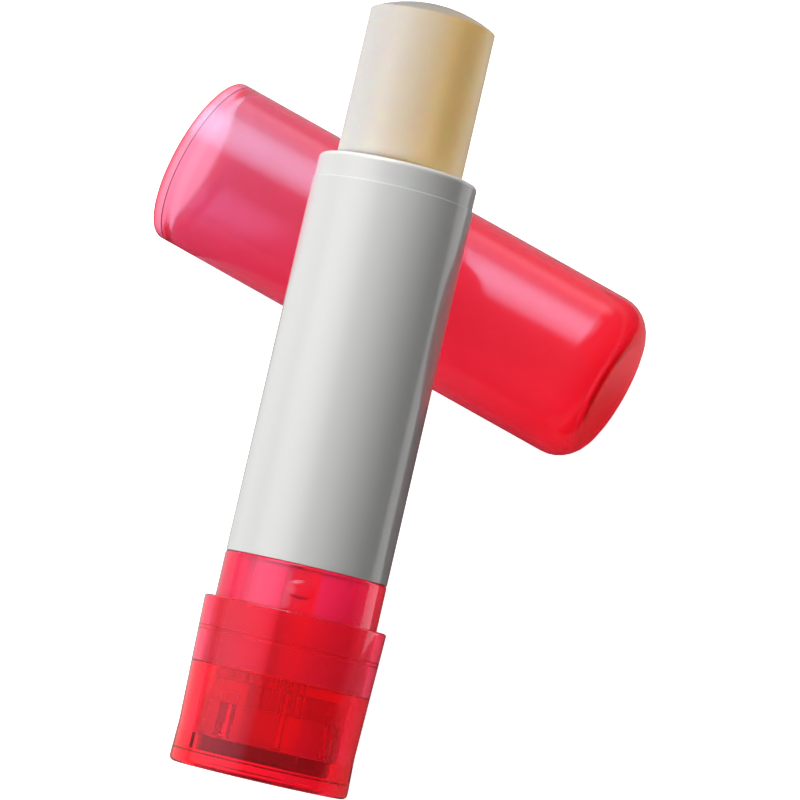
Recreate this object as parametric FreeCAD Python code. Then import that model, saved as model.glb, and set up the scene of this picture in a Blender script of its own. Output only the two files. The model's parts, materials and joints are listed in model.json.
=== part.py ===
import FreeCAD, Part
import math
import os

# A twist-up lip balm stick leaning on its own cap, in millimetres.
# The stick is drawn upright on its base, then laid against the cap.

# Base knob
knob_height = 17.3
knob_top_diameter = 19.0
knob_waist_diameter = 18.3
knob_foot_diameter = 18.6
knob_waist_height = 4.3
knob_waist_blend = 9.0
knob_bottom_round = 0.55
knob_top_bevel = 0.2
knob_recess_depth = 1.4
knob_recess_diameter = 14.6
knob_ledge_thickness = 0.3
knob_ledge_width = 0.5
snap_height = 14.0
snap_bead_width = 0.5
snap_bead_depth = 0.28

# Collar body, from the snap skirt in the knob to the spigot in the barrel
collar_diameter = 16.88
collar_visible_height = 4.8
collar_shoulder_height = 10.6
skirt_diameter = 15.0
skirt_wall = 0.9
skirt_relief_height = 5.0
skirt_relief_depth = 0.2
spigot_length = 7.0
spigot_diameter = 15.4
finger_corner = 0.45
long_slot_width = 0.5
long_slot_length = 6.6
short_slot_width = 1.4
short_slot_length = 3.6
slot_pairs = 4
slot_heading = 8.5
flute_length = 3.6
flute_width = 0.44
flute_pitch = 5.2
flutes_per_group = 5
bump_count = 2
bump_height = 0.2
bump_above_knob = 2.3
bump_axial_radius = 2.6
bump_round_radius = 3.8
bump_heading = 9.0

# Barrel, its guide ribs and its wrap label
barrel_length = 41.95
barrel_diameter = 16.62
barrel_bore = 14.0
rim_round = 0.5
rim_inner_bevel = 0.2
rib_count = 2
rib_heading = -36.0
rib_width = 1.0
rib_depth = 0.3
rib_end_below_rim = 3.0
label_thickness = 0.11
label_below_rim = 2.65
label_seam = 0.3

# Screw spindle
flange_diameter = 13.9
flange_thickness = 1.6
lug_count = 4
lug_width = 1.2
lug_reach = 0.4
lug_heading = 30.0
neck_diameter = 6.0
bearing_diameter = 13.0
bearing_height = 7.0
bearing_thickness = 3.4
bearing_wall = 0.9
bearing_web = 1.0
screw_diameter = 4.4
screw_tip_bevel = 0.8
screw_top_height = 56.5

# Carrier cup and balm
carrier_floor = 2.2
cup_depth = 5.0
cup_wall = 0.65
balm_out = 15.8
balm_length = 38.0
balm_diameter = 13.15
balm_dome_height = 1.7
balm_core_diameter = 5.2
balm_core_end = 4.8

# Cap
cap_length = 52.5
cap_mouth_diameter = 19.0
cap_end_diameter = 18.4
cap_bore = 17.2
cap_end_thickness = 1.0
cap_end_round = 3.75
cap_inner_bevel = 1.7
cap_mouth_bevel = 0.15
cap_lead_in_depth = 0.65
cap_lead_in_width = 0.2
cap_groove_near = 1.75
cap_groove_far = 2.85
cap_groove_depth = 0.15

# Fits
running_fit = 0.08
bearing_fit = 0.1
press_gap = 0.02
glue_gap = 0.01
end_play = 0.1
overrun = 1.0

# How the stick lies on the cap
cross_on_stick = 55.1
cross_on_cap = 27.9
cross_gap = 0.25
stick_turn = 18.1
mid_wall_share = 0.5

seam_height = knob_height + collar_visible_height
rim_height = seam_height + barrel_length
label_top_height = rim_height - label_below_rim
balm_edge_height = rim_height + balm_out
balm_top_height = balm_edge_height + balm_dome_height
balm_bottom_height = balm_top_height - balm_length
carrier_bottom_height = balm_bottom_height - carrier_floor
cup_top_height = balm_bottom_height + cup_depth
flange_bottom_height = knob_recess_depth + knob_ledge_thickness
flange_top_height = flange_bottom_height + flange_thickness
skirt_bottom_height = flange_top_height + end_play

up = FreeCAD.Vector(0, 0, 1)
centre = FreeCAD.Vector(0, 0, 0)
full_turn = 360.0


def lathe(corners):
    # Turns an outline about the upright axis. A corner is (diameter, height), with a radius where it is
    # rounded, or (diameter, height, None, bevel) where it is cut off flat.
    points = [FreeCAD.Vector(corner[0] / 2, 0, corner[1]) for corner in corners]
    bends = []
    for index, here in enumerate(points):
        treatment = corners[index][2:]
        if not treatment:
            bends.append((here,))
            continue
        back = (points[index - 1] - here).normalize()
        ahead = (points[(index + 1) % len(points)] - here).normalize()
        rounding = treatment[0]
        if rounding is None:
            bends.append((here + back * treatment[1], here + ahead * treatment[1]))
            continue
        half = back.getAngle(ahead) / 2
        reach = rounding / math.tan(half)
        inward = (back + ahead).normalize() * (rounding / math.sin(half) - rounding)
        bends.append((here + back * reach, here + inward, here + ahead * reach))
    edges = []
    for index, bend in enumerate(bends):
        if len(bend) == 3:
            edges.append(Part.Arc(*bend).toShape())
        elif len(bend) == 2:
            edges.append(Part.makeLine(*bend))
        edges.append(Part.makeLine(bend[-1], bends[(index + 1) % len(bends)][0]))
    return Part.Face(Part.Wire(edges)).revolve(centre, up, full_turn)


def disc(diameter, bottom, top):
    return Part.makeCylinder(diameter / 2, top - bottom, FreeCAD.Vector(0, 0, bottom))


def bar(width, inner, outer, bottom, top):
    # An upright bar reaching outwards along X between two radii.
    corner = FreeCAD.Vector(inner, -width / 2, bottom)
    return Part.makeBox(outer - inner, width, top - bottom, corner)


def around(shape, count, heading=0.0):
    # Copies a shape evenly about the upright axis, starting at a heading.
    copies = []
    for index in range(count):
        copy = shape.copy()
        copy.rotate(centre, up, heading + index * full_turn / count)
        copies.append(copy)
    return copies


def cap_diameter_at(distance):
    # Outside of the cap at a distance from its mouth.
    return cap_mouth_diameter + (cap_end_diameter - cap_mouth_diameter) * distance / cap_length


def base_knob():
    # A waisted sleeve with a snap bead near its top and a seat for the spindle near its foot.
    upper_bore = collar_diameter + 2 * running_fit
    lower_bore = skirt_diameter + 2 * running_fit
    seat_bore = flange_diameter + 2 * press_gap
    ledge_bore = flange_diameter - 2 * knob_ledge_width
    step_height = collar_shoulder_height - end_play
    bead_bottom = snap_height - snap_bead_width / 2
    bead_top = snap_height + snap_bead_width / 2
    bead_bore = upper_bore - 2 * snap_bead_depth
    sleeve = lathe([
        (knob_recess_diameter, 0),
        (knob_foot_diameter, 0, knob_bottom_round),
        (knob_waist_diameter, knob_waist_height, knob_waist_blend),
        (knob_top_diameter, knob_height, None, knob_top_bevel),
        (upper_bore, knob_height),
        (upper_bore, bead_top),
        (bead_bore, bead_top),
        (bead_bore, bead_bottom),
        (upper_bore, bead_bottom),
        (upper_bore, step_height),
        (lower_bore, step_height),
        (lower_bore, flange_top_height),
        (seat_bore, flange_top_height),
        (seat_bore, flange_bottom_height),
        (ledge_bore, flange_bottom_height),
        (ledge_bore, knob_recess_depth),
        (knob_recess_diameter, knob_recess_depth),
    ])
    reach = flange_diameter / 2 + lug_reach + press_gap
    inside = flange_diameter / 2 - lug_reach
    top = flange_top_height + end_play
    notch = bar(lug_width + 2 * press_gap, inside, reach, flange_bottom_height, top)
    return sleeve.cut(around(notch, lug_count, lug_heading))


def guide_ribs(bottom, top, outer):
    # Ribs along the bore that keep the carrier from turning, rooted halfway into a wall.
    wall = (outer - barrel_bore) / 2
    root = barrel_bore / 2 + wall * mid_wall_share
    rib = bar(rib_width, barrel_bore / 2 - rib_depth, root, bottom, top)
    return around(rib, rib_count, rib_heading)


def slot_tool(width, length):
    # A slot cut up from the fingers' ends, with rounded corners where it opens.
    half = width / 2
    flare = half + finger_corner
    foot = -overrun
    turn = finger_corner * (1 - math.sqrt(0.5))
    bottom = skirt_bottom_height
    radius = skirt_diameter / 2 + overrun

    def at(across, height):
        return FreeCAD.Vector(0, across, bottom + height)

    corners = [at(flare, 0), at(flare, foot), at(-flare, foot), at(-flare, 0)]
    edges = [Part.makeLine(corners[index], corners[index + 1]) for index in range(3)]
    left_bend = at(-half - turn, turn)
    right_bend = at(half + turn, turn)
    edges.append(Part.Arc(corners[3], left_bend, at(-half, finger_corner)).toShape())
    edges.append(Part.makeLine(at(-half, finger_corner), at(-half, length)))
    edges.append(Part.makeLine(at(-half, length), at(half, length)))
    edges.append(Part.makeLine(at(half, length), at(half, finger_corner)))
    edges.append(Part.Arc(at(half, finger_corner), right_bend, corners[0]).toShape())
    return Part.Face(Part.Wire(edges)).extrude(FreeCAD.Vector(radius, 0, 0))


def flute_tools():
    # Round-bottomed flutes in groups, one group over each long slot.
    top = collar_shoulder_height
    rod = disc(flute_width, top - flute_length, top)
    rod.translate(FreeCAD.Vector(skirt_diameter / 2, 0, 0))
    tools = []
    for index in range(flutes_per_group):
        offset = (index - (flutes_per_group - 1) / 2) * flute_pitch
        tools += around(rod, slot_pairs, bump_heading + slot_heading + offset)
    return tools


def snap_bumps():
    # Two low oval bumps that the cap clicks over.
    rise = math.sqrt(bump_axial_radius ** 2 - (bump_round_radius - bump_axial_radius) ** 2)
    tip = FreeCAD.Vector(bump_round_radius, 0, 0)
    arc = Part.Arc(FreeCAD.Vector(0, 0, rise), tip, FreeCAD.Vector(0, 0, -rise)).toShape()
    axis = Part.makeLine(FreeCAD.Vector(0, 0, -rise), FreeCAD.Vector(0, 0, rise))
    bump = Part.Face(Part.Wire([arc, axis])).revolve(centre, up, full_turn)
    out = collar_diameter / 2 + bump_height - bump_round_radius
    height = knob_height + bump_above_knob
    bump.translate(FreeCAD.Vector(out, 0, height))
    wall = (collar_diameter - barrel_bore) / 2
    core = collar_diameter - 2 * wall * mid_wall_share
    bump = bump.cut(disc(core, height - bump_round_radius, height + bump_round_radius))
    return around(bump, bump_count, bump_heading)


def collar_body():
    # A slotted, fluted snap skirt below, the collar that shows, and a spigot above.
    skirt_bore = skirt_diameter - 2 * skirt_wall
    relief_bore = skirt_bore + 2 * skirt_relief_depth
    bearing_top = bearing_height + bearing_thickness + end_play
    groove_bottom = snap_height - snap_bead_width / 2 - running_fit
    groove_top = snap_height + snap_bead_width / 2 + running_fit
    groove_floor = collar_diameter - 2 * snap_bead_depth
    spigot_top = seam_height + spigot_length
    body = lathe([
        (relief_bore, skirt_bottom_height),
        (skirt_diameter, skirt_bottom_height),
        (skirt_diameter, collar_shoulder_height),
        (collar_diameter, collar_shoulder_height),
        (collar_diameter, groove_bottom),
        (groove_floor, groove_bottom),
        (groove_floor, groove_top),
        (collar_diameter, groove_top),
        (collar_diameter, seam_height),
        (spigot_diameter, seam_height),
        (spigot_diameter, spigot_top),
        (barrel_bore, spigot_top),
        (barrel_bore, bearing_top),
        (skirt_bore, bearing_top),
        (skirt_bore, skirt_relief_height),
        (relief_bore, skirt_relief_height),
    ])
    heading = bump_heading + slot_heading
    between = full_turn / slot_pairs / 2
    tools = around(slot_tool(long_slot_width, long_slot_length), slot_pairs, heading)
    tools += around(slot_tool(short_slot_width, short_slot_length), slot_pairs, heading + between)
    added = snap_bumps() + guide_ribs(bearing_top, spigot_top, spigot_diameter)
    return body.fuse(added).cut(tools + flute_tools()).removeSplitter()


def barrel():
    # A tube with a rounded rim, a socket for the spigot and guide ribs in its bore.
    socket = spigot_diameter + 2 * press_gap
    socket_top = seam_height + spigot_length + end_play
    shell = lathe([
        (socket, seam_height),
        (barrel_diameter, seam_height),
        (barrel_diameter, rim_height, rim_round),
        (barrel_bore, rim_height, None, rim_inner_bevel),
        (barrel_bore, socket_top),
        (socket, socket_top),
    ])
    ribs = guide_ribs(socket_top, rim_height - rib_end_below_rim, barrel_diameter)
    return shell.fuse(ribs).removeSplitter()


def wrap_label():
    # A thin film round the barrel, with a butt seam on the far side.
    inner = barrel_diameter + 2 * glue_gap
    outer = inner + 2 * label_thickness
    sleeve = disc(outer, seam_height, label_top_height).cut(disc(inner, seam_height, label_top_height))
    seam = bar(label_seam, 0, outer, seam_height - overrun, label_top_height + overrun)
    seam.rotate(centre, up, bump_heading + full_turn / 2)
    return sleeve.cut(seam)


def screw_spindle():
    # A flange keyed into the knob, a bearing disc hollowed from below, and the screw shank above.
    bearing_top = bearing_height + bearing_thickness
    hollow_top = bearing_top - bearing_web
    hollow = bearing_diameter - 2 * bearing_wall
    body = lathe([
        (0, flange_bottom_height),
        (flange_diameter, flange_bottom_height),
        (flange_diameter, flange_top_height),
        (neck_diameter, flange_top_height),
        (neck_diameter, hollow_top),
        (hollow, hollow_top),
        (hollow, bearing_height),
        (bearing_diameter, bearing_height),
        (bearing_diameter, bearing_top),
        (screw_diameter, bearing_top),
        (screw_diameter, screw_top_height, None, screw_tip_bevel),
        (0, screw_top_height),
    ])
    outer = flange_diameter / 2 + lug_reach
    inner = flange_diameter / 2 - lug_reach
    lug = bar(lug_width, inner, outer, flange_bottom_height, flange_top_height)
    return body.fuse(around(lug, lug_count, lug_heading)).removeSplitter()


def carrier():
    # The cup that holds the balm and rides up the screw, notched for the barrel's ribs.
    outer = barrel_bore - 2 * bearing_fit
    nut_bore = screw_diameter + 2 * bearing_fit
    cup = lathe([
        (nut_bore, carrier_bottom_height),
        (outer, carrier_bottom_height),
        (outer, cup_top_height),
        (outer - 2 * cup_wall, cup_top_height),
        (outer - 2 * cup_wall, balm_bottom_height),
        (nut_bore, balm_bottom_height),
    ])
    bottom = carrier_bottom_height - overrun
    top = cup_top_height + overrun
    notch_floor = barrel_bore / 2 - rib_depth - bearing_fit
    notch = bar(rib_width + 2 * bearing_fit, notch_floor, barrel_bore / 2, bottom, top)
    return cup.cut(around(notch, rib_count, rib_heading))


def balm():
    # A wax stick with a shallow domed tip, stepped in where the cup holds it.
    seat = barrel_bore - 2 * bearing_fit - 2 * cup_wall - 2 * press_gap
    core_top = balm_top_height - balm_core_end
    shoulder = cup_top_height + press_gap
    body = lathe([
        (balm_core_diameter, balm_bottom_height),
        (seat, balm_bottom_height),
        (seat, shoulder),
        (balm_diameter, shoulder),
        (balm_diameter, balm_top_height),
        (0, balm_top_height),
        (0, core_top),
        (balm_core_diameter, core_top),
    ])
    half = balm_diameter / 2
    dome_radius = (half ** 2 + balm_dome_height ** 2) / (2 * balm_dome_height)
    sphere = Part.makeSphere(dome_radius, FreeCAD.Vector(0, 0, balm_top_height - dome_radius))
    above = disc(balm_diameter + overrun, balm_edge_height, balm_top_height + overrun)
    return body.cut(above.cut(sphere))


def cap():
    # A drafted cup with a rounded end, a lead-in at its mouth and a groove for the snap bumps.
    inner_end = cap_length - cap_end_thickness
    groove = cap_bore + 2 * cap_groove_depth
    return lathe([
        (cap_mouth_diameter, 0, None, cap_mouth_bevel),
        (cap_end_diameter, cap_length, cap_end_round),
        (0, cap_length),
        (0, inner_end),
        (cap_bore, inner_end, None, cap_inner_bevel),
        (cap_bore, cap_groove_far),
        (groove, cap_groove_far),
        (groove, cap_groove_near),
        (cap_bore, cap_groove_near),
        (cap_bore, cap_lead_in_depth),
        (cap_bore + 2 * cap_lead_in_width, 0),
    ])


def turned_place(across, along, axis, origin):
    # A placement that carries local X, Y and Z to three directions.
    matrix = FreeCAD.Matrix(
        across.x, along.x, axis.x, origin.x,
        across.y, along.y, axis.y, origin.y,
        across.z, along.z, axis.z, origin.z,
        0, 0, 0, 1)
    return FreeCAD.Placement(matrix)


def cap_place():
    # The cap lies along X with its tapered side flat on the table and its mouth at the origin.
    draft = math.atan2(cap_mouth_diameter - cap_end_diameter, 2 * cap_length)
    axis = FreeCAD.Vector(math.cos(draft), 0, -math.sin(draft))
    side = FreeCAD.Vector(0, 1, 0)
    mouth = FreeCAD.Vector(0, 0, cap_mouth_diameter / 2 * math.cos(draft))
    return turned_place(side.cross(axis), side, axis, mouth)


def stick_axis(lean):
    turn = math.radians(stick_turn)
    flat = math.cos(lean)
    return FreeCAD.Vector(-flat * math.sin(turn), flat * math.cos(turn), math.sin(lean))


def stick_foot(lean):
    # The middle of the stick's base when the barrel lies across the cap at a lean.
    place = cap_place()
    cap_axis = place.multVec(up) - place.Base
    axis = stick_axis(lean)
    apart = cap_axis.cross(axis).normalize()
    film = 2 * (glue_gap + label_thickness)
    stick_radius = (barrel_diameter + film) / 2
    distance = stick_radius + cap_diameter_at(cross_on_cap) / 2 + cross_gap
    return place.Base + cap_axis * cross_on_cap + apart * distance - axis * cross_on_stick


def foot_clearance(lean):
    # Height of the lowest point of the knob's rounded foot over the table.
    ring = knob_foot_diameter / 2 - knob_bottom_round
    drop = ring * math.cos(lean) + knob_bottom_round * (1 - math.sin(lean))
    return stick_foot(lean).z - drop


def resting_lean():
    # The lean that brings the foot down to the table.
    low = 0.0
    high = math.pi / 3
    for _ in range(60):
        middle = (low + high) / 2
        if foot_clearance(middle) > 0:
            low = middle
        else:
            high = middle
    return (low + high) / 2


def stick_place():
    lean = resting_lean()
    axis = stick_axis(lean)
    upper_side = (up - axis * up.dot(axis)).normalize()
    return turned_place(upper_side, axis.cross(upper_side), axis, stick_foot(lean))


def main():
    os.makedirs("parts", exist_ok=True)
    on_stick = {
        "base_knob": base_knob(),
        "collar_body": collar_body(),
        "barrel": barrel(),
        "wrap_label": wrap_label(),
        "screw_spindle": screw_spindle(),
        "carrier": carrier(),
        "balm": balm(),
    }
    stick = stick_place()
    lying = cap_place()
    shapes = {name: shape.transformed(stick.toMatrix()) for name, shape in on_stick.items()}
    shapes["cap"] = cap().transformed(lying.toMatrix())
    box = Part.makeCompound(list(shapes.values())).optimalBoundingBox(False, False)
    shift = FreeCAD.Vector(-box.Center.x, -box.Center.y, -box.ZMin)
    for name, shape in shapes.items():
        shape.translate(shift)
        shape.exportStep("parts/" + name + ".step")
        print(name, len(shape.Solids), shape.isValid(), round(shape.Volume, 3))
    foot = stick.Base + shift
    axis = stick.multVec(up) - stick.Base
    mouth = lying.Base + shift
    print("box", box.XLength, box.YLength, box.ZLength)
    print("foot", foot, "axis", axis, "mouth", mouth)


main()
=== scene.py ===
import bpy
import bmesh
import json
import math
from mathutils import Matrix, Vector


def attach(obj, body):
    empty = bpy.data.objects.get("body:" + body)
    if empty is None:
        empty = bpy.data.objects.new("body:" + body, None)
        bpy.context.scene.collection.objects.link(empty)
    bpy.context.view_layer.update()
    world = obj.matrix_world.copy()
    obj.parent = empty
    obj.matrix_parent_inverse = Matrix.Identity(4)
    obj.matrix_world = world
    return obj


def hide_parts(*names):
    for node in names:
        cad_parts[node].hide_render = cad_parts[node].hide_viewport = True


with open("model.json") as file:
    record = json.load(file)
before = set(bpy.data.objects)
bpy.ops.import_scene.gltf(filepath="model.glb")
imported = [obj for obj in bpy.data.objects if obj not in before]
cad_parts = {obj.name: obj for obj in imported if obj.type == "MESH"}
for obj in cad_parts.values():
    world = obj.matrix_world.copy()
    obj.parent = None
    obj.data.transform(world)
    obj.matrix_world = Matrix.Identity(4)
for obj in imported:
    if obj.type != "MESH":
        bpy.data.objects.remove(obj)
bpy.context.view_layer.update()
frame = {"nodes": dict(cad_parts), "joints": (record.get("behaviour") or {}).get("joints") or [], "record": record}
nodes = frame["nodes"]
joints = {joint["name"]: joint for joint in frame["joints"]}
mounts = {mount["name"]: mount for mount in frame["record"]["mounts"]}
scene = bpy.context.scene

mm = 0.001
fullTurn = 2 * math.pi
meshing = {
    "segments": 192,        # steps round a turned piece
    "arcStep": 12.0,        # degrees of a rounded corner per step
    "holdGap": 0.12,        # mm from a rounded corner to the ring that keeps the flat beside it flat
    "sharpAngle": 32.0,     # degrees, edges above this stay crisp
    "threadSteps": 48,      # steps in one turn of a thread
}


# Places along the stick and along the cap, with Z on the axis and X on the upper side
def axisPlace(origin, axis):
    z = Vector(axis).normalized()
    x = (Vector((0, 0, 1)) - z * z.z).normalized()
    turn = Matrix((x, z.cross(x), z)).transposed().to_4x4()
    return Matrix.Translation(origin) @ turn @ Matrix.Scale(mm, 4)


def measured(node, place):  # lowest and highest height and widest radius of a CAD node, in mm
    back = place.inverted()
    points = [back @ vertex.co for vertex in nodes[node].data.vertices]
    heights = [point.z for point in points]
    return min(heights), max(heights), max(math.hypot(point.x, point.y) for point in points)


turnJoint = joints["knob_turn"]
stickPlace = axisPlace(turnJoint["pos_m"], turnJoint["axis"])
capEnd = mounts["cap_end"]
endPlace = axisPlace(capEnd["pos_m"], capEnd["axis"])
capMouth = endPlace @ Vector((0, 0, measured("cap", endPlace)[0]))
capPlace = axisPlace(capMouth, capEnd["axis"])
print("places: stick foot", list(stickPlace.translation), "cap mouth", list(capMouth))


# Turned forms
def rounded(corners):  # (radius, height, rounding) corners as outline points in mm
    bends = []
    for index, (radius, height, rounding) in enumerate(corners):
        here = Vector((radius, height))
        if not rounding:
            bends.append([here])
            continue
        back = (Vector(corners[index - 1][:2]) - here).normalized()
        ahead = (Vector(corners[(index + 1) % len(corners)][:2]) - here).normalized()
        half = back.angle(ahead) / 2
        centre = here + (back + ahead).normalized() * rounding / math.sin(half)
        start = here + back * rounding / math.tan(half) - centre
        end = here + ahead * rounding / math.tan(half) - centre
        sweep = math.atan2(start.x * end.y - start.y * end.x, start.dot(end))
        steps = max(2, math.ceil(abs(math.degrees(sweep)) / meshing["arcStep"]))
        bend = [centre + Matrix.Rotation(sweep * step / steps, 2) @ start for step in range(steps + 1)]
        bends.append(bend)
    outline = []
    for index, bend in enumerate(bends):
        outline += bend
        following = bends[(index + 1) % len(bends)]
        run = following[0] - bend[-1]
        if run.length > 4 * meshing["holdGap"]:
            step = run.normalized() * meshing["holdGap"]
            outline += [bend[-1] + step] if len(bend) > 1 else []
            outline += [following[0] - step] if len(following) > 1 else []
    return outline


def turned(name, corners, gap=0.0, heading=0.0):  # an outline turned about Z, open by a gap in radians
    outline = rounded(corners)
    segments = meshing["segments"]
    closed = gap == 0
    stops = segments if closed else segments + 1
    shape = bmesh.new()
    rings = []
    for point in outline:
        if point.x < 1e-6:
            rings.append([shape.verts.new((0, 0, point.y))] * (segments + 1))
            continue
        angles = [heading + gap / 2 + (fullTurn - gap) * step / segments for step in range(stops)]
        ring = [shape.verts.new((point.x * math.cos(a), point.x * math.sin(a), point.y)) for a in angles]
        rings.append(ring + ring[:1] if closed else ring)
    for ring, following in zip(rings, rings[1:] + rings[:1]):
        for step in range(segments):
            corner = [ring[step], ring[step + 1], following[step + 1], following[step]]
            corner = list(dict.fromkeys(corner))
            if len(corner) > 2:
                shape.faces.new(corner)
    if not closed:
        shape.faces.new([ring[0] for ring in rings])
        shape.faces.new([ring[-1] for ring in rings])
    bmesh.ops.recalc_face_normals(shape, faces=shape.faces)
    return asObject(name, shape)


def asObject(name, shape):
    mesh = bpy.data.meshes.new(name)
    shape.to_mesh(mesh)
    shape.free()
    piece = bpy.data.objects.new(name, mesh)
    scene.collection.objects.link(piece)
    return piece


def prism(name, outline, direction):  # a flat outline pushed along a direction, in mm
    shape = bmesh.new()
    face = shape.faces.new([shape.verts.new(point) for point in outline])
    pushed = bmesh.ops.extrude_face_region(shape, geom=[face])["geom"]
    moved = [item for item in pushed if isinstance(item, bmesh.types.BMVert)]
    bmesh.ops.translate(shape, vec=direction, verts=moved)
    bmesh.ops.recalc_face_normals(shape, faces=shape.faces)
    return asObject(name, shape)


def bar(name, width, inner, outer, bottom, top):  # an upright bar reaching out along X between two radii
    half = width / 2
    outline = [(inner, -half, bottom), (inner, half, bottom), (inner, half, top), (inner, -half, top)]
    return prism(name, outline, (outer - inner, 0, 0))


# Geometry Nodes
def newTree(name, inputs):
    tree = bpy.data.node_groups.new(name, "GeometryNodeTree")
    tree.interface.new_socket("Geometry", in_out="INPUT", socket_type="NodeSocketGeometry")
    for label, kind in inputs.items():
        tree.interface.new_socket(label, in_out="INPUT", socket_type="NodeSocket" + kind)
    tree.interface.new_socket("Geometry", in_out="OUTPUT", socket_type="NodeSocketGeometry")
    return tree, tree.nodes.new("NodeGroupInput").outputs


def addNode(tree, kind, inputs, **settings):
    node = tree.nodes.new(kind)
    for key, value in settings.items():
        setattr(node, key, value)
    for key, value in inputs.items():
        for one in value if isinstance(value, list) else [value]:
            if isinstance(one, bpy.types.NodeSocket):
                tree.links.new(one, node.inputs[key])
            else:
                node.inputs[key].default_value = one
    return node


def maths(tree, operation, first, second):
    return addNode(tree, "ShaderNodeMath", {0: first, 1: second}, operation=operation).outputs[0]


def weighed(tree, first, firstShare, second, secondShare):  # two values, each times its share, added up
    return maths(tree, "ADD", maths(tree, "MULTIPLY", first, firstShare),
                 maths(tree, "MULTIPLY", second, secondShare))


def endTree(tree, geometry, material):  # every tree ends in real geometry with its material
    real = addNode(tree, "GeometryNodeRealizeInstances", {"Geometry": geometry})
    dressed = addNode(tree, "GeometryNodeSetMaterial", {"Geometry": real.outputs[0], "Material": material})
    addNode(tree, "NodeGroupOutput", {"Geometry": dressed.outputs[0]})
    return tree


def ringOfTools():  # copies of a tool in groups round the axis, cut from a piece or joined to it
    tree, given = newTree("ringOfTools", {
        "Tool": "Object", "Groups": "Int", "Per Group": "Int", "Pitch": "Float", "Heading": "Float",
        "Join": "Bool", "Material": "Material"})
    tool = addNode(tree, "GeometryNodeObjectInfo", {"Object": given["Tool"]})
    total = maths(tree, "MULTIPLY", given["Groups"], given["Per Group"])
    spots = addNode(tree, "GeometryNodePoints", {"Count": total})
    index = addNode(tree, "GeometryNodeInputIndex", {}).outputs[0]
    group = maths(tree, "FLOOR", maths(tree, "DIVIDE", index, given["Per Group"]), 0.0)
    inGroup = maths(tree, "MODULO", index, given["Per Group"])
    middle = maths(tree, "MULTIPLY", maths(tree, "SUBTRACT", given["Per Group"], 1.0), 0.5)
    aside = maths(tree, "MULTIPLY", maths(tree, "SUBTRACT", inGroup, middle), given["Pitch"])
    groupTurn = maths(tree, "MULTIPLY", group, maths(tree, "DIVIDE", fullTurn, given["Groups"]))
    angle = maths(tree, "ADD", given["Heading"], maths(tree, "ADD", aside, groupTurn))
    euler = addNode(tree, "ShaderNodeCombineXYZ", {"Z": angle})
    turn = addNode(tree, "FunctionNodeEulerToRotation", {"Euler": euler.outputs[0]})
    copies = addNode(tree, "GeometryNodeInstanceOnPoints", {
        "Points": spots.outputs[0], "Instance": tool.outputs["Geometry"], "Rotation": turn.outputs[0]})
    tools = addNode(tree, "GeometryNodeRealizeInstances", {"Geometry": copies.outputs[0]}).outputs[0]
    cut = addNode(tree, "GeometryNodeMeshBoolean", {"Mesh 1": given["Geometry"], "Mesh 2": tools},
                  operation="DIFFERENCE", solver="EXACT")
    fused = addNode(tree, "GeometryNodeMeshBoolean", {"Mesh 2": [given["Geometry"], tools]},
                    operation="UNION", solver="EXACT")
    chosen = addNode(tree, "GeometryNodeSwitch", {
        "Switch": given["Join"], "False": cut.outputs[0], "True": fused.outputs[0]}, input_type="GEOMETRY")
    return endTree(tree, chosen.outputs[0], given["Material"])


def screwThread():  # a left-hand ridge wound up a shank and fused to it
    tree, given = newTree("screwThread", {
        "Root Radius": "Float", "Depth": "Float", "Lead": "Float", "Turns": "Float", "Start": "Float",
        "Foot Width": "Float", "Crest Width": "Float", "Material": "Material"})
    height = maths(tree, "MULTIPLY", given["Lead"], given["Turns"])
    sunk = maths(tree, "MULTIPLY", given["Depth"], 0.5)
    radius = maths(tree, "ADD", given["Root Radius"], sunk)
    wound = addNode(tree, "GeometryNodeCurveSpiral", {
        "Resolution": meshing["threadSteps"], "Rotations": given["Turns"], "Height": height,
        "Start Radius": radius, "End Radius": radius, "Reverse": False})
    upright = addNode(tree, "GeometryNodeSetCurveNormal", {"Curve": wound.outputs[0]}, mode="Z_UP")
    ridge = addNode(tree, "GeometryNodeCurvePrimitiveQuadrilateral", {
        "Height": maths(tree, "MULTIPLY", given["Depth"], 2.0), "Bottom Width": given["Foot Width"],
        "Top Width": given["Crest Width"], "Offset": 0.0}, mode="TRAPEZOID")
    turnedRidge = addNode(tree, "GeometryNodeTransform", {
        "Geometry": ridge.outputs[0], "Rotation": (0.0, 0.0, math.pi / 2)})
    swept = addNode(tree, "GeometryNodeCurveToMesh", {
        "Curve": upright.outputs[0], "Profile Curve": turnedRidge.outputs[0], "Fill Caps": True})
    lift = addNode(tree, "ShaderNodeCombineXYZ", {"Z": given["Start"]})
    raised = addNode(tree, "GeometryNodeTransform", {
        "Geometry": swept.outputs[0], "Translation": lift.outputs[0]})
    fused = addNode(tree, "GeometryNodeMeshBoolean", {"Mesh 2": [given["Geometry"], raised.outputs[0]]},
                    operation="UNION", solver="EXACT")
    return endTree(tree, fused.outputs[0], given["Material"])


def shaped(piece, tree, values):  # runs a tree on a piece and keeps the result as a plain mesh
    modifier = piece.modifiers.new(tree.name, "NODES")
    modifier.node_group = tree
    for item in tree.interface.items_tree:
        if item.in_out == "INPUT" and item.name in values:
            modifier[item.identifier] = values[item.name]
    depsgraph = bpy.context.evaluated_depsgraph_get()
    made = bpy.data.meshes.new_from_object(piece.evaluated_get(depsgraph), depsgraph=depsgraph)
    plain = piece.data
    piece.modifiers.remove(modifier)
    piece.data = made
    bpy.data.meshes.remove(plain)
    tool = values.get("Tool")
    if tool:
        bpy.data.objects.remove(tool)


toolRing = ringOfTools()
threadTree = screwThread()
print("node trees ready")


# Finishes shared by several materials
clouds = {"scale": 260.0, "detail": 3.0, "low": 0.3, "high": 0.7}   # a noise, faded between two values
grainDetail = 2.0


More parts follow.
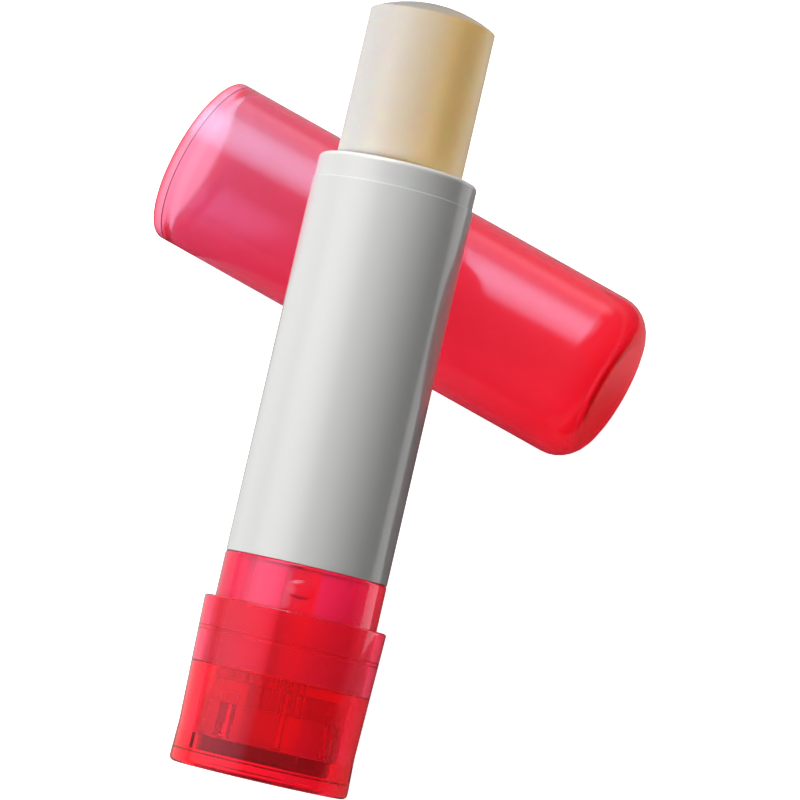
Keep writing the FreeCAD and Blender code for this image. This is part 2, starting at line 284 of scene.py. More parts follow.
def newGroup(name, inputs, outputs):
    group = bpy.data.node_groups.new(name, "ShaderNodeTree")
    for label, kind in inputs.items():
        group.interface.new_socket(label, in_out="INPUT", socket_type="NodeSocket" + kind)
    for label, kind in outputs.items():
        group.interface.new_socket(label, in_out="OUTPUT", socket_type="NodeSocket" + kind)
    given = group.nodes.new("NodeGroupInput").outputs
    return group, given, group.nodes.new("NodeGroupOutput").inputs


def mouldedSkin():  # fine moulded grain: a roughness that wanders and a faint uneven surface
    group, given, result = newGroup(
        "mouldedSkin",
        {"Grain Scale": "Float", "Smooth": "Float", "Dull": "Float", "Depth": "Float"},
        {"Roughness": "Float", "Normal": "Vector"})
    spot = addNode(group, "ShaderNodeTexCoord", {}).outputs["Object"]
    cloudy = addNode(group, "ShaderNodeTexNoise", {
        "Vector": spot, "Scale": clouds["scale"], "Detail": clouds["detail"]})
    rough = addNode(group, "ShaderNodeMapRange", {
        "Value": cloudy.outputs[0], "From Min": clouds["low"], "From Max": clouds["high"],
        "To Min": given["Smooth"], "To Max": given["Dull"]})
    grain = addNode(group, "ShaderNodeTexNoise", {
        "Vector": spot, "Scale": given["Grain Scale"], "Detail": grainDetail})
    bump = addNode(group, "ShaderNodeBump", {
        "Strength": 1.0, "Distance": given["Depth"], "Height": grain.outputs[0]})
    group.links.new(rough.outputs[0], result["Roughness"])
    group.links.new(bump.outputs[0], result["Normal"])
    return group


def colourDrift():  # one colour wandering softly into another, drawn out along a turned axis
    group, given, result = newGroup(
        "colourDrift",
        {"Colour": "Color", "Drift": "Color", "Turn": "Vector", "Spread": "Vector"},
        {"Colour": "Color"})
    spot = addNode(group, "ShaderNodeTexCoord", {}).outputs["Object"]
    along = addNode(group, "ShaderNodeMapping", {
        "Vector": spot, "Rotation": given["Turn"], "Scale": given["Spread"]})
    cloud = addNode(group, "ShaderNodeTexNoise", {
        "Vector": along.outputs[0], "Scale": 1.0, "Detail": clouds["detail"]})
    share = addNode(group, "ShaderNodeMapRange", {
        "Value": cloud.outputs[0], "From Min": clouds["low"], "From Max": clouds["high"]})
    mixed = addNode(group, "ShaderNodeMix", {
        "Factor": share.outputs[0], 6: given["Colour"], 7: given["Drift"]}, data_type="RGBA")
    group.links.new(mixed.outputs[2], result["Colour"])
    return group


skinGroup = mouldedSkin()
driftGroup = colourDrift()
skinKeys = {"Grain Scale": "grainScale", "Smooth": "smooth", "Dull": "dull", "Depth": "grainDepth"}


def turnOf(place):  # the Mapping turn that brings a piece's axis upright
    return place.to_3x3().normalized().transposed().to_euler()


def plastic(name, finish, place):
    material = bpy.data.materials.new(name)
    material.use_nodes = True
    tree = material.node_tree
    shader = tree.nodes["Principled BSDF"]
    skin = addNode(tree, "ShaderNodeGroup", {}, node_tree=skinGroup)
    for socket, key in skinKeys.items():
        skin.inputs[socket].default_value = finish[key]
    drift = addNode(tree, "ShaderNodeGroup", {}, node_tree=driftGroup)
    drift.inputs["Colour"].default_value = (*finish["colour"], 1)
    drift.inputs["Drift"].default_value = (*finish["drift"], 1)
    drift.inputs["Turn"].default_value = turnOf(place)
    drift.inputs["Spread"].default_value = finish["spread"]
    tree.links.new(drift.outputs["Colour"], shader.inputs["Base Color"])
    tree.links.new(skin.outputs["Roughness"], shader.inputs["Roughness"])
    tree.links.new(skin.outputs["Normal"], shader.inputs["Normal"])
    for socket, value in finish["sockets"].items():
        shader.inputs[socket].default_value = value
    return material


def settle(piece, place, material, body, node):  # puts a piece in its place and on its body
    mesh = piece.data
    mesh.transform(place)
    mesh.materials.clear()
    mesh.materials.append(material)
    mesh.polygons.foreach_set("use_smooth", [True] * len(mesh.polygons))
    mesh.set_sharp_from_angle(angle=math.radians(meshing["sharpAngle"]))
    mesh.update()
    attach(piece, body)
    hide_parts(node)
    print("piece", piece.name, "with", len(mesh.polygons), "faces on", body)


def deepen(material, dye):  # colour that builds up with the length of the way through a piece
    tree = material.node_tree
    depth = addNode(tree, "ShaderNodeVolumeAbsorption", dye)
    tree.links.new(depth.outputs[0], tree.nodes["Material Output"].inputs["Volume"])


redDye = {   # the colour that the plastic lets through, and how strongly it does so with depth
    "colour": (0.99, 0.06, 0.36), "density": 1100.0, "ior": 1.41, "shine": (0.45, 0.75, 1.0, 1.0),
    "spread": (160.0, 160.0, 40.0), "grainScale": 1800.0, "grainDepth": 0.000002,
}


def redPlastic(name, finish, place):  # clear plastic dyed through, so thick parts go darker
    sockets = {
        "IOR": redDye["ior"], "Transmission Weight": finish["clear"], "Specular Tint": redDye["shine"]}
    material = plastic(name, {**redDye, **finish, "sockets": sockets}, place)
    deepen(material, {"Color": (*finish.get("dye", redDye["colour"]), 1), "Density": redDye["density"]})
    return material


def dullInside(piece, material, extra):  # the core pin leaves the inner wall duller than the outside
    mesh = piece.data
    inside = mesh.attributes.new("inside", "FLOAT", "POINT")
    outwards = [Vector((v.co.x, v.co.y, 0)).normalized() + Vector((0, 0, 1)) for v in mesh.vertices]
    pairs = zip(mesh.vertices, outwards)
    inside.data.foreach_set("value", [float(vertex.normal.dot(out) < 0) for vertex, out in pairs])
    tree = material.node_tree
    rough = tree.nodes["Principled BSDF"].inputs["Roughness"]
    skin = rough.links[0].from_socket
    mark = addNode(tree, "ShaderNodeAttribute", {}, attribute_name="inside").outputs["Fac"]
    tree.links.new(maths(tree, "ADD", skin, maths(tree, "MULTIPLY", mark, extra)), rough)


def shaded(piece, material, name, colour, shareAt):  # mixes in a colour by a share set point by point; used for painted shade and a painted highlight
    mesh = piece.data
    marks = mesh.attributes.new(name, "FLOAT", "POINT")
    marks.data.foreach_set("value", [shareAt(v.co) for v in mesh.vertices])
    tree = material.node_tree
    base = tree.nodes["Principled BSDF"].inputs["Base Color"]
    dyed = base.links[0].from_socket
    share = addNode(tree, "ShaderNodeAttribute", {}, attribute_name=name).outputs["Fac"]
    mixed = addNode(tree, "ShaderNodeMix", {"Factor": share, 6: dyed, 7: (*colour, 1)}, data_type="RGBA")
    tree.links.new(mixed.outputs[2], base)


# Base knob
knob = {
    "footRadius": 9.3, "footRound": 0.55, "waistRadius": 9.15, "waistHeight": 4.3, "waistBlend": 9.0,
    "topRound": 0.25, "recessRadius": 7.3, "recessDepth": 1.4, "ledgeTop": 1.7, "ledgeBore": 6.45,
    "seatBore": 6.97, "seatTop": 3.3, "lowerBore": 7.58, "stepHeight": 10.5, "upperBore": 8.52,
    "beadBore": 8.24, "beadHeight": 14.0, "beadWidth": 0.5, "edge": 0.1,
    "lugs": 4, "lugHeading": 30.0, "lugWidth": 1.24, "lugReach": 7.37, "overrun": 0.1,
    "finish": {
        "colour": (0.995, 0.52, 0.64), "drift": (0.99, 0.49, 0.61),
        "clear": 0.98, "smooth": 0.03, "dull": 0.07,
    },
}


def buildKnob():
    bottom, top, radius = measured("base_knob", stickPlace)
    edge = knob["edge"]
    beadTop = knob["beadHeight"] + knob["beadWidth"] / 2
    beadBottom = knob["beadHeight"] - knob["beadWidth"] / 2
    piece = turned("knobSleeve", [
        (knob["recessRadius"], bottom, edge),
        (knob["footRadius"], bottom, knob["footRound"]),
        (knob["waistRadius"], knob["waistHeight"], knob["waistBlend"]),
        (radius, top, knob["topRound"]),
        (knob["upperBore"], top, edge),
        (knob["upperBore"], beadTop, 0),
        (knob["beadBore"], beadTop, edge),
        (knob["beadBore"], beadBottom, edge),
        (knob["upperBore"], beadBottom, 0),
        (knob["upperBore"], knob["stepHeight"], edge),
        (knob["lowerBore"], knob["stepHeight"], edge),
        (knob["lowerBore"], knob["seatTop"], 0),
        (knob["seatBore"], knob["seatTop"], 0),
        (knob["seatBore"], knob["ledgeTop"], 0),
        (knob["ledgeBore"], knob["ledgeTop"], 0),
        (knob["ledgeBore"], knob["recessDepth"], edge),
        (knob["recessRadius"], knob["recessDepth"], edge),
    ])
    material = redPlastic("knobRed", knob["finish"], stickPlace)
    notch = bar("lugNotch", knob["lugWidth"], knob["ledgeBore"], knob["lugReach"],
                knob["ledgeTop"], knob["seatTop"] + knob["overrun"])
    shaped(piece, toolRing, {
        "Tool": notch, "Groups": knob["lugs"], "Per Group": 1, "Pitch": 0.0,
        "Heading": math.radians(knob["lugHeading"]), "Join": False, "Material": material})
    settle(piece, stickPlace, material, "knob", "base_knob")


# Collar body, with its slotted and fluted snap skirt
collar = {
    "radius": 8.44, "skirtRadius": 7.5, "skirtBore": 6.6, "reliefBore": 6.8, "reliefHeight": 5.0,
    "shoulder": 10.6, "grooveBottom": 13.67, "grooveTop": 14.33, "grooveRadius": 8.16, "seam": 22.1,
    "spigotRadius": 7.7, "bore": 7.0, "bearingTop": 10.5, "edge": 0.12, "seamRound": 0.3,
    "heading": 17.5, "slotGroups": 4, "longSlot": (0.5, 6.6), "shortSlot": (1.4, 3.6),
    "fingerCorner": 0.45, "cornerSteps": 6, "overrun": 1.0,
    "flutes": 5, "flutePitch": 5.2, "fluteWidth": 0.44, "fluteLength": 3.6, "fluteSides": 16,
    "bumps": 2, "bumpHeading": 9.0, "bumpHeight": 19.6, "bumpReach": 8.74, "bumpSize": (3.0, 2.2),
    "bumpSteps": (96, 64),
    "ribs": 2, "ribHeading": -36.0, "ribWidth": 1.0, "ribReach": 6.7, "insideDull": 0.35,
    "finish": {
        "colour": (0.93, 0.4, 0.73), "drift": (0.925, 0.37, 0.69),
        "clear": 0.95, "smooth": 0.03, "dull": 0.07,
    },
}


def slotTool(name, width, length, bottom):  # a slot with rounded corners where the fingers end
    half, corner = width / 2, collar["fingerCorner"]
    flare = half + corner
    steps = collar["cornerSteps"]
    arc = [(flare - corner * math.sin(a), corner - corner * math.cos(a))
           for a in (math.pi / 2 * step / steps for step in range(steps + 1))]
    rightSide = [(flare, -collar["overrun"])] + arc + [(half, length)]
    outline = rightSide + [(-across, height) for across, height in reversed(rightSide)]
    reach = collar["skirtRadius"] + collar["overrun"]
    return prism(name, [(0, across, bottom + height) for across, height in outline], (reach, 0, 0))


def ovalBump():  # a low oval dome sunk in the collar's wall
    across, along = collar["bumpSize"]
    around, upwards = collar["bumpSteps"]
    shape = bmesh.new()
    bmesh.ops.create_uvsphere(shape, u_segments=around, v_segments=upwards, radius=1.0)
    bmesh.ops.scale(shape, vec=(across, across, along), verts=shape.verts)
    centre = (collar["bumpReach"] - across, 0, collar["bumpHeight"])
    bmesh.ops.translate(shape, vec=centre, verts=shape.verts)
    inner = (collar["bore"] + collar["radius"]) / 2
    cut = bmesh.ops.bisect_plane(shape, geom=shape.verts[:] + shape.edges[:] + shape.faces[:],
                                 plane_co=(inner, 0, 0), plane_no=(1, 0, 0), clear_inner=True)
    opened = [item for item in cut["geom_cut"] if isinstance(item, bmesh.types.BMEdge)]
    bmesh.ops.contextual_create(shape, geom=opened)
    bmesh.ops.recalc_face_normals(shape, faces=shape.faces)
    return asObject("ovalBump", shape)


def buildCollar():
    bottom, top, _ = measured("collar_body", stickPlace)
    edge = collar["edge"]
    piece = turned("collarBody", [
        (collar["reliefBore"], bottom, 0),
        (collar["skirtRadius"], bottom, edge),
        (collar["skirtRadius"], collar["shoulder"], edge),
        (collar["radius"], collar["shoulder"], edge),
        (collar["radius"], collar["grooveBottom"], 0),
        (collar["grooveRadius"], collar["grooveBottom"], 0),
        (collar["grooveRadius"], collar["grooveTop"], 0),
        (collar["radius"], collar["grooveTop"], 0),
        (collar["radius"], collar["seam"], collar["seamRound"]),
        (collar["spigotRadius"], collar["seam"], 0),
        (collar["spigotRadius"], top, edge),
        (collar["bore"], top, 0),
        (collar["bore"], collar["bearingTop"], 0),
        (collar["skirtBore"], collar["bearingTop"], 0),
        (collar["skirtBore"], collar["reliefHeight"], 0),
        (collar["reliefBore"], collar["reliefHeight"], 0),
    ])
    material = redPlastic("collarRed", collar["finish"], stickPlace)
    between = fullTurn / collar["slotGroups"] / 2
    heading = math.radians(collar["heading"])
    ring = {
        "Groups": collar["slotGroups"], "Per Group": 1, "Pitch": 0.0, "Join": False, "Material": material}
    longTool = slotTool("longSlot", *collar["longSlot"], bottom)
    shaped(piece, toolRing, {**ring, "Tool": longTool, "Heading": heading})
    shortTool = slotTool("shortSlot", *collar["shortSlot"], bottom)
    shaped(piece, toolRing, {**ring, "Tool": shortTool, "Heading": heading + between})
    sides = collar["fluteSides"]
    rodRadius = collar["fluteWidth"] / 2
    foot = collar["shoulder"] - collar["fluteLength"]
    circle = [(collar["skirtRadius"] + rodRadius * math.cos(fullTurn * side / sides),
               rodRadius * math.sin(fullTurn * side / sides), foot) for side in range(sides)]
    rod = prism("fluteRod", circle, (0, 0, collar["fluteLength"]))
    shaped(piece, toolRing, {**ring, "Tool": rod, "Heading": heading, "Per Group": collar["flutes"],
                             "Pitch": math.radians(collar["flutePitch"])})
    shaped(piece, toolRing, {**ring, "Tool": ovalBump(), "Heading": math.radians(collar["bumpHeading"]),
                             "Groups": collar["bumps"], "Join": True})
    root = (collar["bore"] + collar["spigotRadius"]) / 2
    rib = bar("collarRib", collar["ribWidth"], collar["ribReach"], root, collar["seam"], top)
    shaped(piece, toolRing, {**ring, "Tool": rib, "Heading": math.radians(collar["ribHeading"]),
                             "Groups": collar["ribs"], "Join": True})
    dullInside(piece, material, collar["insideDull"])
    settle(piece, stickPlace, material, "stick", "collar_body")


# Barrel and its wrap label
barrel = {
    "radius": 8.31, "bore": 7.0, "rimRound": 0.5, "rimInner": 0.2, "edge": 0.06,
    "socketRadius": 7.72, "socketTop": 29.2,
    "ribs": 2, "ribHeading": -36.0, "ribWidth": 1.0, "ribReach": 6.7, "ribEndBelowRim": 3.0,
    "finish": {
        "colour": (0.72, 0.72, 0.71), "drift": (0.7, 0.7, 0.69), "spread": (90.0, 90.0, 30.0),
        "grainScale": 2600.0, "grainDepth": 0.000003, "smooth": 0.14, "dull": 0.22,
        "sockets": {"IOR": 1.5, "Subsurface Weight": 0.2, "Subsurface Scale": 0.001},
    },
}
label = {
    "glue": 0.01, "edge": 0.03, "topEdge": 0.06, "seam": 0.3, "seamHeading": 189.0,
    "finish": {
        "colour": (0.71, 0.71, 0.7), "drift": (0.702, 0.702, 0.692), "spread": (70.0, 70.0, 25.0),
        "grainScale": 3200.0, "grainDepth": 0.000001, "smooth": 0.13, "dull": 0.18,
        "sockets": {"IOR": 1.5},
    },
}


def buildBarrel():
    bottom, top, _ = measured("barrel", stickPlace)
    piece = turned("barrelTube", [
        (barrel["socketRadius"], bottom, 0),
        (barrel["radius"], bottom, barrel["edge"]),
        (barrel["radius"], top, barrel["rimRound"]),
        (barrel["bore"], top, barrel["rimInner"]),
        (barrel["bore"], barrel["socketTop"], 0),
        (barrel["socketRadius"], barrel["socketTop"], 0),
    ])
    material = plastic("barrelWhite", barrel["finish"], stickPlace)
    root = (barrel["bore"] + barrel["radius"]) / 2
    ribTop = top - barrel["ribEndBelowRim"]
    rib = bar("guideRib", barrel["ribWidth"], barrel["ribReach"], root, barrel["socketTop"], ribTop)
    shaped(piece, toolRing, {
        "Tool": rib, "Groups": barrel["ribs"], "Per Group": 1, "Pitch": 0.0,
        "Heading": math.radians(barrel["ribHeading"]), "Join": True, "Material": material})
    settle(piece, stickPlace, material, "stick", "barrel")


def buildLabel():
    bottom, top, outer = measured("wrap_label", stickPlace)
    inner = barrel["radius"] + label["glue"]
    edge = label["edge"]
    piece = turned("wrapLabel", [
        (inner, bottom, edge),
        (outer, bottom, edge),
        (outer, top, label["topEdge"]),
        (inner, top, 0),
    ], gap=label["seam"] / outer, heading=math.radians(label["seamHeading"]))
    material = plastic("labelFilm", label["finish"], stickPlace)
    settle(piece, stickPlace, material, "stick", "wrap_label")


# Screw spindle
spindle = {
    "flangeRadius": 6.95, "flangeTop": 3.3,
    "lugs": 4, "lugHeading": 30.0, "lugWidth": 1.2, "lugReach": 7.35, "lugRoot": 0.4,
    "neckRadius": 3.0, "bearingRadius": 6.5, "bearingBottom": 7.0, "bearingTop": 10.4,
    "hollowRadius": 5.6, "hollowTop": 9.4,
    "rootRadius": 1.78, "threadDepth": 0.28, "lead": 3.0, "threadStart": 22.2, "threadEndBelowTip": 1.5,
    # painted shade: a dark grey for the flange, seen through the knob as a dark band
    "flangeShadeColour": (0.24, 0.3, 0.26), "threadFoot": 1.3, "threadCrest": 0.5, "tipRound": 0.8, "edge": 0.12,
    "finish": {
        "colour": (0.99, 0.5, 0.56), "drift": (0.98, 0.47, 0.53), "dye": (0.993, 0.25, 0.4),
        "clear": 0.98, "smooth": 0.05, "dull": 0.1,
    },
}


def buildSpindle():
    bottom, top, _ = measured("screw_spindle", stickPlace)
    edge = spindle["edge"]
    piece = turned("screwSpindle", [
        (0, bottom, 0),
        (spindle["flangeRadius"], bottom, edge),
        (spindle["flangeRadius"], spindle["flangeTop"], edge),
        (spindle["neckRadius"], spindle["flangeTop"], edge),
        (spindle["neckRadius"], spindle["hollowTop"], edge),
        (spindle["hollowRadius"], spindle["hollowTop"], edge),
        (spindle["hollowRadius"], spindle["bearingBottom"], edge),
        (spindle["bearingRadius"], spindle["bearingBottom"], edge),
        (spindle["bearingRadius"], spindle["bearingTop"], edge),
        (spindle["rootRadius"], spindle["bearingTop"], edge),
        (spindle["rootRadius"], top, spindle["tipRound"]),
        (0, top, 0),
    ])
    material = redPlastic("spindleRed", spindle["finish"], stickPlace)
    inner = spindle["flangeRadius"] - spindle["lugRoot"]
    lug = bar("flangeLug", spindle["lugWidth"], inner, spindle["lugReach"], bottom, spindle["flangeTop"])
    shaped(piece, toolRing, {
        "Tool": lug, "Groups": spindle["lugs"], "Per Group": 1, "Pitch": 0.0,
        "Heading": math.radians(spindle["lugHeading"]), "Join": True, "Material": material})
    wound = top - spindle["threadEndBelowTip"] - spindle["threadStart"]
    shaped(piece, threadTree, {
        "Root Radius": spindle["rootRadius"], "Depth": spindle["threadDepth"], "Lead": spindle["lead"],
        "Turns": wound / spindle["lead"], "Start": spindle["threadStart"],
        "Foot Width": spindle["threadFoot"], "Crest Width": spindle["threadCrest"], "Material": material})
    rim, flangeTop = spindle["flangeRadius"] - edge, spindle["flangeTop"] + edge
    middle = (bottom + flangeTop) / 2
    # painted shade: the lower half of the flange and its rim are darkened
    shaded(piece, material, "inFlange", spindle["flangeShadeColour"],
           lambda co: float(co.z < middle or (co.z < flangeTop and co.xy.length > rim)))
    settle(piece, stickPlace, material, "knob", "screw_spindle")


# Carrier cup and balm
carrier = {
    "floor": 2.2, "wall": 0.65, "nutBore": 2.3, "notches": 2, "notchHeading": -36.0, "notchWidth": 1.2,
    "notchFloor": 6.6, "overrun": 1.0, "edge": 0.1,
    "finish": {
        "colour": (0.86, 0.86, 0.83), "drift": (0.83, 0.83, 0.8), "spread": (120.0, 120.0, 60.0),
        "grainScale": 2200.0, "grainDepth": 0.000004, "smooth": 0.3, "dull": 0.42,
        "sockets": {"IOR": 1.5, "Subsurface Weight": 0.3, "Subsurface Scale": 0.002},
    },
}
balm = {
    "coreRadius": 2.6, "coreEnd": 4.8, "seatTop": 48.57, "seatRadius": 6.23, "radius": 6.575,
    "domeHeight": 1.7, "domeSteps": 24, "cornerRound": 0.12,
    "finish": {
        "colour": (0.74, 0.72, 0.7), "drift": (0.73, 0.71, 0.68), "spread": (110.0, 110.0, 45.0),
        "grainScale": 900.0, "grainDepth": 0.000004, "smooth": 0.34, "dull": 0.46,
        "sockets": {"IOR": 1.44, "Subsurface Weight": 1.0, "Subsurface Scale": 0.0015,
                    "Subsurface Radius": (1.0, 0.5, 0.2)},
    },
}


def buildCarrier():
    bottom, top, radius = measured("carrier", stickPlace)
    edge = carrier["edge"]
    floor = bottom + carrier["floor"]
    piece = turned("carrierCup", [
        (carrier["nutBore"], bottom, edge),
        (radius, bottom, edge),
        (radius, top, edge),
        (radius - carrier["wall"], top, edge),
        (radius - carrier["wall"], floor, edge),
        (carrier["nutBore"], floor, edge),
    ])
    material = plastic("carrierWhite", carrier["finish"], stickPlace)
    past = carrier["overrun"]
    notch = bar("cupNotch", carrier["notchWidth"], carrier["notchFloor"], radius + past,
                bottom - past, top + past)
    shaped(piece, toolRing, {
        "Tool": notch, "Groups": carrier["notches"], "Per Group": 1, "Pitch": 0.0,
        "Heading": math.radians(carrier["notchHeading"]), "Join": False, "Material": material})
    settle(piece, stickPlace, material, "balm_carrier", "carrier")


def buildBalm():
    bottom, top, _ = measured("balm", stickPlace)
    tip, rise = balm["radius"], balm["domeHeight"]
    domeRadius = (tip ** 2 + rise ** 2) / (2 * rise)
    lean = math.asin(tip / domeRadius)
    steps = balm["domeSteps"]
    leans = [lean * (1 - step / steps) for step in range(steps + 1)]
    dome = [(domeRadius * math.sin(a), top - domeRadius + domeRadius * math.cos(a), 0) for a in leans]
    dome[0] = (tip, top - rise, balm["cornerRound"])
    core = top - balm["coreEnd"]
    piece = turned("balmStick", [
        (balm["coreRadius"], bottom, 0),
        (balm["seatRadius"], bottom, 0),
        (balm["seatRadius"], balm["seatTop"], 0),
        (tip, balm["seatTop"], 0),
        *dome,
        (0, core, 0),
        (balm["coreRadius"], core, 0),
    ])
    material = plastic("balmWax", balm["finish"], stickPlace)
    settle(piece, stickPlace, material, "balm_carrier", "balm")


# Cap
cap = {
    "endRadius": 9.2, "endRound": 3.75, "endThickness": 1.0, "bore": 8.6, "innerRound": 2.9,
    "mouthRound": 0.4, "leadInRadius": 8.95, "lipDepth": 0.95, "lipRadius": 8.84,
    "grooveNear": 1.75, "grooveFar": 2.85, "grooveRadius": 8.75, "grooveSlope": 0.36, "edge": 0.08,
    "finish": {
        "colour": (0.91, 0.28, 0.33), "drift": (0.9, 0.25, 0.3),
        "clear": 0.955, "smooth": 0.12, "dull": 0.16,
    },
    "insideDull": 0.04, "endColour": (0.95, 0.16, 0.22), "deepFrom": 7.0,
    # painted highlight: a pale pink that fades in towards the cap's mouth
    "mouthHighlightColour": (0.8, 0.57, 0.68), "paleTo": 34.0, "lip": 0.45,
}


def buildCap():
    mouth, end, radius = measured("cap", capPlace)
    innerEnd = end - cap["endThickness"]
    edge, slope = cap["edge"], cap["grooveSlope"] / 2
    piece = turned("capShell", [
        (radius, mouth, cap["mouthRound"]),
        (cap["endRadius"], end, cap["endRound"]),
        (0, end, 0),
        (0, innerEnd, 0),
        (cap["bore"], innerEnd, cap["innerRound"]),
        (cap["bore"], cap["grooveFar"] + slope, 0),
        (cap["grooveRadius"], cap["grooveFar"] - slope, 0),
        (cap["grooveRadius"], cap["grooveNear"] + slope, 0),
        (cap["bore"], cap["grooveNear"] - slope, 0),
        (cap["bore"], cap["lipDepth"], edge),
        (cap["lipRadius"], cap["lipDepth"], 0),
        (cap["leadInRadius"], mouth, edge),
    ])
    material = redPlastic("capRed", cap["finish"], capPlace)
    dullInside(piece, material, cap["insideDull"])
    lip, fade, deep = cap["lip"], cap["paleTo"], cap["deepFrom"]   # painted highlight: paler pink towards the mouth, but not on the lip; darker red towards the closed end
    shaded(piece, material, "nearMouth", cap["mouthHighlightColour"],
           lambda co: max(0.0, 1 - co.z / fade) if co.z > lip else 0.0)
    shaded(piece, material, "nearEnd", cap["endColour"], lambda co: max(0.0, 1 - (end - co.z) / deep))
    settle(piece, capPlace, material, "loose_cap", "cap")


buildKnob()
buildCollar()
buildBarrel()
buildLabel()
buildSpindle()
buildCarrier()
buildBalm()
buildCap()
print("pieces built")


# Studio
studio = {
    "floorSize": 3.0, "floorTone": 0.9, "floorBounce": 0.45, "floorMirrored": 0.35,
    "floorGlow": 1.0, "floorGlowThrough": 0.95, "floorRough": 0.9, "floorShine": 0.1,
    "shadeSide": (0.951, 0.311), "shadeFrom": 0.004, "shadeTo": 0.0095, "shade": 0.28,
    "shadeEnd": -0.006, "shadeFade": 0.008,
    "cards": (
        (1.8, ((33, -8), (60, -4), (76, 85), (10, 80), (14, 50), (36, 36), (35, 5))),
        (0.6, ((-75, -60), (4, -60), (-4, -20), (-20, 0), (-30, 30), (-80, 30)))),
    "cardLift": 0.3, "cardReach": {"spares": ("capShell",)},
    "backdrop": 1.0, "air": 0.07, "airThrough": 1.0,
    "aim": (0.0, 0.0, 0.015), "bounces": 24, "glossyBounces": 12,
}
lights = {   # soft boxes, bright in the middle and fading to their edges
    "key": {"spot": (-0.241, -0.266, 0.363), "size": (0.8, 0.7), "power": 3.8,
            "spares": ("capShell", "balmStick", "knobSleeve")},
    "haze": {"spot": (-0.345, -0.265, 0.265), "size": (1.2, 1.0), "power": 5.2,
            "only": ("knobSleeve", "collarBody")},
    "wax": {"spot": (-0.285, -0.3, 0.295), "size": (0.4, 0.3), "power": 6.2,
            "only": ("balmStick",)},
    "top": {"spot": (-0.238, 0.219, 0.397), "size": (0.6, 0.5), "power": 6.3,
            "spares": ("balmStick",)},
    "sheen": {"spot": (-0.22, 0.25, 0.38), "size": (0.8, 0.6), "power": 8.2,
            "colour": (0.05, 0.87, 1.0), "only": ("capShell",)},
    "back": {"spot": (-0.234, 0.383, 0.12), "size": (0.8, 0.3), "power": 2.0},
    "glow": {"spot": (0.39, 0.02, 0.33), "size": (0.3, 0.3), "power": 3.2,
            "colour": (1.0, 0.6, 0.08), "only": ("balmStick",)},
}
view = {
    "spot": (0.12128294, -0.13210953, 0.40613308), "aim": (0.00900311, 0.00550547, 0.015),
    "roll": -7.01108, "lens": 185.8204, "sensor": 36.0,
}


def softEdge(lamp):  # fades a lamp from its middle to its edges
    lamp.use_nodes = True
    tree = lamp.node_tree
    spot = addNode(tree, "ShaderNodeNewGeometry", {}).outputs["Parametric"]
    parts = addNode(tree, "ShaderNodeSeparateXYZ", {"Vector": spot}).outputs
    across = maths(tree, "SUBTRACT", maths(tree, "MULTIPLY", parts["X"], 2.0), 1.0)
    along = maths(tree, "SUBTRACT", maths(tree, "MULTIPLY", parts["Y"], 2.0), 1.0)
    away = weighed(tree, across, across, along, along)
    bright = maths(tree, "MAXIMUM", maths(tree, "SUBTRACT", 1.0, away), 0.0)
    tree.links.new(bright, tree.nodes["Emission"].inputs["Strength"])


def aimLight(holder, light):  # a light meant for some pieces only, or for all but some
    for word, state in (("only", "INCLUDE"), ("spares", "EXCLUDE")):
        if word in light:
            chosen = bpy.data.collections.new(holder.name + "Pieces")
            for piece in light[word]:
                chosen.objects.link(bpy.data.objects[piece])
            for link in chosen.collection_objects:
                link.light_linking.link_state = state
            holder.light_linking.receiver_collection = chosen


def buildFloor():  # white in the camera's eye and through the plastic, greyer in gloss and bounced light
    half = studio["floorSize"] / 2
    shape = bmesh.new()
    bmesh.ops.create_grid(shape, x_segments=1, y_segments=1, size=half)
    floor = asObject("studioFloor", shape)
    material = bpy.data.materials.new("paleFloor")
    material.use_nodes = True
    tree = material.node_tree
    shader = tree.nodes["Principled BSDF"]
    shader.inputs["Roughness"].default_value = studio["floorRough"]
    shader.inputs["Specular IOR Level"].default_value = studio["floorShine"]
    shader.inputs["Emission Color"].default_value = (1, 1, 1, 1)
    ray = addNode(tree, "ShaderNodeLightPath", {}).outputs
    tone = studio["floorTone"]
    held = weighed(tree, ray["Is Diffuse Ray"], tone - studio["floorBounce"],
                   ray["Is Glossy Ray"], tone - studio["floorMirrored"])
    tree.links.new(maths(tree, "SUBTRACT", tone, held), shader.inputs["Base Color"])
    seen = maths(tree, "MULTIPLY", ray["Is Camera Ray"], studio["floorGlow"])
    spot = addNode(tree, "ShaderNodeTexCoord", {}).outputs["Object"]
    parts = addNode(tree, "ShaderNodeSeparateXYZ", {"Vector": spot}).outputs
    sideX, sideY = studio["shadeSide"]
    across = weighed(tree, parts["X"], sideX, parts["Y"], sideY)
    dim = addNode(tree, "ShaderNodeMapRange", {
        "Value": across, "From Min": studio["shadeFrom"], "From Max": studio["shadeTo"],
        "To Min": 0.0, "To Max": studio["shade"]}, interpolation_type="SMOOTHSTEP").outputs[0]
    shadeEnd = studio["shadeEnd"]
    nearKnob = addNode(tree, "ShaderNodeMapRange", {
        "Value": parts["Y"], "From Min": shadeEnd - studio["shadeFade"], "From Max": shadeEnd,
        "To Min": 1.0, "To Max": 0.0}, interpolation_type="SMOOTHSTEP").outputs[0]
    lit = maths(tree, "SUBTRACT", 1.0, maths(tree, "MULTIPLY", dim, nearKnob))
    glow = maths(tree, "MULTIPLY", ray["Is Transmission Ray"], studio["floorGlowThrough"])
    through = maths(tree, "MULTIPLY", glow, lit)
    tree.links.new(maths(tree, "MAXIMUM", seen, through), shader.inputs["Emission Strength"])
    floor.data.materials.append(material)


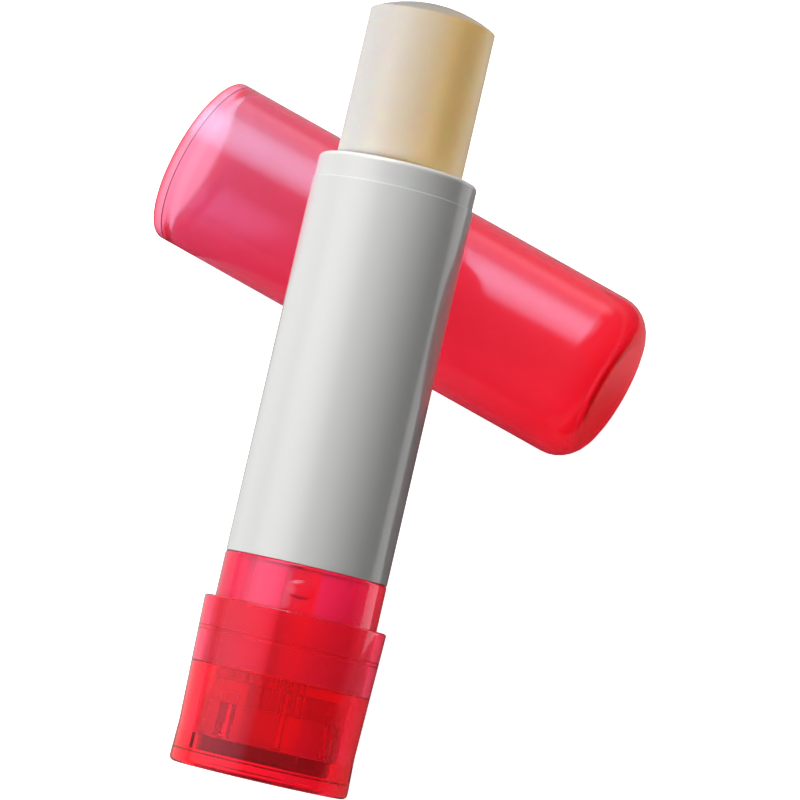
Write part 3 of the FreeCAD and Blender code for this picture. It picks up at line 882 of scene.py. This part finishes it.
def buildCards():  # pale cards beside the stick, which only gloss picks up
    for number, (glow, corners) in enumerate(studio["cards"]):
        shape = bmesh.new()
        shape.faces.new([shape.verts.new((x * mm, y * mm, studio["cardLift"] * mm)) for x, y in corners])
        card = asObject("brightCard" + str(number), shape)
        material = bpy.data.materials.new("cardGlow" + str(number))
        material.use_nodes = True
        shader = material.node_tree.nodes["Principled BSDF"]
        shader.inputs["Base Color"].default_value = (0, 0, 0, 1)
        shader.inputs["Emission Color"].default_value = (1, 1, 1, 1)
        shader.inputs["Emission Strength"].default_value = glow
        card.data.materials.append(material)
        for seenBy in ("camera", "diffuse", "transmission", "shadow"):
            setattr(card, "visible_" + seenBy, False)
        aimLight(card, studio["cardReach"])


def buildAir():
    world = bpy.data.worlds.new("studioAir")
    world.use_nodes = True
    tree = world.node_tree
    ray = addNode(tree, "ShaderNodeLightPath", {}).outputs
    backdrop = maths(tree, "MULTIPLY", ray["Is Camera Ray"], studio["backdrop"])
    air = tree.nodes["Background"]
    air.inputs["Color"].default_value = (1, 1, 1, 1)
    through = maths(tree, "MULTIPLY", ray["Is Transmission Ray"], studio["airThrough"])
    seen = maths(tree, "MAXIMUM", backdrop, through)
    tree.links.new(maths(tree, "MAXIMUM", seen, studio["air"]), air.inputs["Strength"])
    scene.world = world


def buildLamps():
    for name, light in lights.items():
        lamp = bpy.data.lights.new(name, "AREA")
        lamp.shape = "RECTANGLE"
        lamp.size, lamp.size_y = light["size"]
        lamp.energy = light["power"]
        lamp.color = light.get("colour", (1, 1, 1))
        softEdge(lamp)
        holder = bpy.data.objects.new(name, lamp)
        holder.visible_camera = False
        spot = Vector(light["spot"])
        aim = Vector(studio["aim"]) - spot
        holder.matrix_world = Matrix.Translation(spot) @ aim.to_track_quat("-Z", "Y").to_matrix().to_4x4()
        scene.collection.objects.link(holder)
        aimLight(holder, light)


def setLight():  # plain colours, and enough bounces for the nested clear pieces
    scene.view_settings.view_transform = "Standard"
    scene.cycles.max_bounces = studio["bounces"]
    scene.cycles.transmission_bounces = studio["bounces"]
    scene.cycles.glossy_bounces = studio["glossyBounces"]


def buildCamera():
    lens = bpy.data.cameras.new("photoView")
    lens.lens = view["lens"]
    lens.sensor_width = view["sensor"]
    camera = bpy.data.objects.new("photoView", lens)
    spot = Vector(view["spot"])
    look = (Vector(view["aim"]) - spot).to_track_quat("-Z", "Y").to_matrix().to_4x4()
    roll = Matrix.Rotation(math.radians(view["roll"]), 4, "Z")
    camera.matrix_world = Matrix.Translation(spot) @ look @ roll
    scene.collection.objects.link(camera)
    scene.camera = camera


buildFloor()
buildCards()
buildAir()
buildLamps()
setLight()
buildCamera()
print("studio and camera ready")
